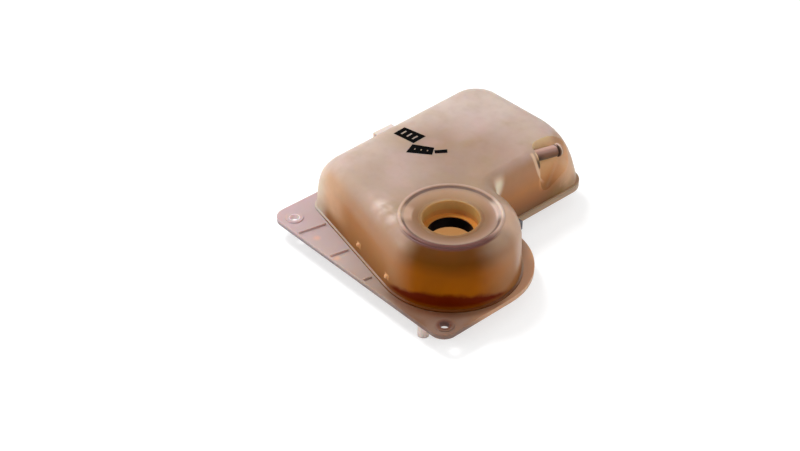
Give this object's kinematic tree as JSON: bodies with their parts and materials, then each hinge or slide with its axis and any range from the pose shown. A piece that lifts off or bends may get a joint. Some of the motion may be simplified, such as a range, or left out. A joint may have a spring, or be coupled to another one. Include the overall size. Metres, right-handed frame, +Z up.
{
  "type": "coolant expansion tank",
  "caption": "L-shaped plastic coolant expansion tank with an open filler neck, hose nipples and a mounting plate.",
  "frame": {"origin": "on the surface that the tank stands on, under the middle of its box", "axes": "+X along the mounting plate's front edge, from its left hole to its right hole; +Y from that edge towards the far end of the arm, the longest way; +Z up, the shortest way"},
  "size_m": [0.247, 0.255, 0.0798],
  "materials": {
    "tank_top": "natural polypropylene, translucent, satin, browned by age",
    "tank_base": "natural polypropylene, translucent, satin, paler",
    "insert": "black, smooth",
    "sensor_body": "dark grey, matt",
    "seal": "black, matt",
    "contact": "bright"
  },
  "bodies": {
    "root": {"upper_shell": "tank_top", "lower_shell": "tank_base", "neck_insert": "insert", "level_sensor": "sensor_body", "sensor_seal": "seal", "sensor_pin_left": "contact", "sensor_pin_right": "contact"}
  },
  "joints": []
}
